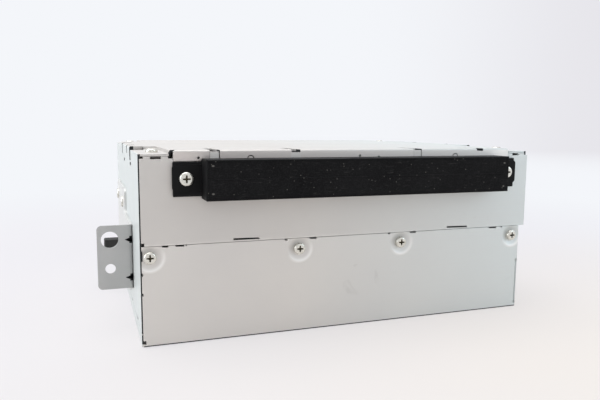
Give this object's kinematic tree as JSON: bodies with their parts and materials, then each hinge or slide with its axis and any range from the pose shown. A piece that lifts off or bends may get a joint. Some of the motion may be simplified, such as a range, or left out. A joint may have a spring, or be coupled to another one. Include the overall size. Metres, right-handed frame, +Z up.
{
  "type": "car cd changer",
  "caption": "Dash-mounted disc changer in a folded steel case: felt-lined slot, loading roller, disc tray stack, swinging player and side mounting ears.",
  "frame": {"origin": "middle of the case's base face", "axes": "+Z up, the disc slot faces -Y, +X to the right seen from the front"},
  "size_m": [0.2222, 0.1855, 0.0816],
  "materials": {
    "galvanised": "galvanised sheet, satin",
    "bracket_steel": "zinc-plated sheet, matt",
    "plated_screw": "zinc-plated, bright",
    "black_plastic": "moulded, matt black",
    "black_felt": "flocked felt",
    "rubber": "soft rubber",
    "gear_plastic": "moulded acetal",
    "steel_shaft": "ground steel",
    "motor_can": "drawn steel can",
    "circuit_board": "green solder mask",
    "component_plastic": "moulded component cases",
    "tuner_can": "tinned steel can",
    "heat_sink_alloy": "extruded, bare",
    "antenna_metal": "nickel-plated"
  },
  "bodies": {
    "case": {"base_tray": "galvanised", "top_cover": "galvanised", "upper_front_plate": "galvanised", "lower_front_plate": "galvanised", "rear_panel": "galvanised", "left_bracket": "bracket_steel", "right_bracket": "bracket_steel", "bracket_rivets": "plated_screw", "bracket_buffers": "rubber", "case_screws": "plated_screw", "mid_deck": "galvanised", "slot_bezel": "black_plastic", "bezel_screws": "plated_screw", "felt_strips": "black_felt", "mech_base_plate": "galvanised", "mech_dampers": "rubber", "screw_bridge": "galvanised", "loader_frame": "galvanised", "disc_guide": "black_plastic", "loading_motor": "motor_can", "stack_motor": "motor_can", "swing_motor": "motor_can", "swing_post": "steel_shaft", "main_board": "circuit_board", "board_components": "component_plastic", "tuner_module": "tuner_can", "power_amplifier": "component_plastic", "heat_sink": "heat_sink_alloy", "harness_connector": "black_plastic", "antenna_socket": "antenna_metal", "ribbon_cable": "component_plastic"},
    "shutter": {"shutter_plate": "galvanised"},
    "roller": {"loading_roller": "rubber", "roller_shaft": "steel_shaft", "roller_gear": "gear_plastic"},
    "roller_drive": {"loading_pinion": "gear_plastic"},
    "ring": {"drive_ring": "gear_plastic"},
    "tray_stack": {"disc_tray_1": "black_plastic", "disc_tray_2": "black_plastic", "disc_tray_3": "black_plastic", "disc_tray_4": "black_plastic", "disc_tray_5": "black_plastic", "disc_tray_6": "black_plastic"},
    "screw_front_right": {"lead_screw_front_right": "steel_shaft"},
    "screw_rear_right": {"lead_screw_rear_right": "steel_shaft"},
    "screw_rear_left": {"lead_screw_rear_left": "steel_shaft"},
    "ring_drive": {"stack_gear": "gear_plastic"},
    "worm": {"stack_worm": "steel_shaft"},
    "swing_drive": {"swing_pinion": "gear_plastic"},
    "player": {"swing_carrier": "galvanised", "player_dampers": "rubber", "player_chassis": "galvanised", "guide_rods": "steel_shaft", "spindle_motor": "motor_can", "sled_motor": "motor_can"},
    "spindle": {"turntable": "gear_plastic"},
    "clamp": {"clamp_lever": "galvanised", "clamp_puck": "gear_plastic"},
    "pickup": {"pickup_sled": "heat_sink_alloy"},
    "pickup_drive": {"sled_screw": "steel_shaft"}
  },
  "joints": [
    {"name": "shutter_rise", "type": "slide", "parent": "case", "child": "shutter", "axis": [0, 0, 1], "range_m": [0, 0.005]},
    {"name": "roller_spin", "type": "hinge", "parent": "case", "child": "roller", "pos_m": [0.00225, -0.07, 0.0651], "axis": [1, 0, 0], "continuous": true},
    {"name": "pinion_spin", "type": "hinge", "parent": "case", "child": "roller_drive", "pos_m": [0.07145, -0.07, 0.0535], "axis": [1, 0, 0], "continuous": true},
    {"name": "ring_turn", "type": "hinge", "parent": "case", "child": "ring", "pos_m": [0.00225, 0.002, 0.0478], "axis": [0, 0, 1], "range_deg": [0, 33.75]},
    {"name": "stack_lower", "type": "slide", "parent": "case", "child": "tray_stack", "axis": [0, 0, -1], "range_m": [0, 0.002]},
    {"name": "screw_front_right_spin", "type": "hinge", "parent": "case", "child": "screw_front_right", "pos_m": [0.06045, -0.03689, 0.0478], "axis": [0, 0, 1], "range_deg": [-360, 0]},
    {"name": "screw_rear_right_spin", "type": "hinge", "parent": "case", "child": "screw_rear_right", "pos_m": [0.05636, 0.04641, 0.0478], "axis": [0, 0, 1], "range_deg": [-360, 0]},
    {"name": "screw_rear_left_spin", "type": "hinge", "parent": "case", "child": "screw_rear_left", "pos_m": [-0.01476, 0.0699, 0.0478], "axis": [0, 0, 1], "range_deg": [-360, 0]},
    {"name": "ring_drive_spin", "type": "hinge", "parent": "case", "child": "ring_drive", "pos_m": [-0.05566, -0.04095, 0.0478], "axis": [0, 0, 1], "range_deg": [-270, 0]},
    {"name": "worm_spin", "type": "hinge", "parent": "case", "child": "worm", "pos_m": [-0.06976, -0.04095, 0.0519], "axis": [0, 1, 0], "range_deg": [0, 5940]},
    {"name": "player_swing", "type": "hinge", "parent": "case", "child": "player", "pos_m": [-0.078, 0.06166, 0.0598], "axis": [0, 0, 1], "range_deg": [0, 53.37]},
    {"name": "swing_pinion_spin", "type": "hinge", "parent": "case", "child": "swing_drive", "pos_m": [-0.078, 0.04256, 0.0564], "axis": [0, 0, 1], "range_deg": [-149.43, 0]},
    {"name": "turntable_spin", "type": "hinge", "parent": "player", "child": "spindle", "pos_m": [-0.078, -0.03834, 0.0699], "axis": [0, 0, 1], "continuous": true},
    {"name": "clamp_close", "type": "hinge", "parent": "player", "child": "clamp", "pos_m": [-0.078, 0.05017, 0.0728], "axis": [1, 0, 0], "range_deg": [0, 1.05]},
    {"name": "pickup_slide", "type": "slide", "parent": "player", "child": "pickup", "axis": [0, 1, 0], "range_m": [0, 0.035]},
    {"name": "sled_screw_spin", "type": "hinge", "parent": "player", "child": "pickup_drive", "pos_m": [-0.0715, 0.01167, 0.0658], "axis": [0, 1, 0], "range_deg": [0, 4200]}
  ],
  "couplings": [
    {"joint": "pinion_spin", "follows": "roller_spin", "ratio": -1.5556},
    {"joint": "stack_lower", "follows": "ring_turn", "m_per_rad": 0.0033953},
    {"joint": "screw_front_right_spin", "follows": "ring_turn", "ratio": -10.667},
    {"joint": "screw_rear_right_spin", "follows": "ring_turn", "ratio": -10.667},
    {"joint": "screw_rear_left_spin", "follows": "ring_turn", "ratio": -10.667},
    {"joint": "ring_drive_spin", "follows": "ring_turn", "ratio": -8},
    {"joint": "worm_spin", "follows": "ring_turn", "ratio": 176},
    {"joint": "swing_pinion_spin", "follows": "player_swing", "ratio": -2.8},
    {"joint": "sled_screw_spin", "follows": "pickup_slide", "rad_per_m": 2094.4}
  ]
}
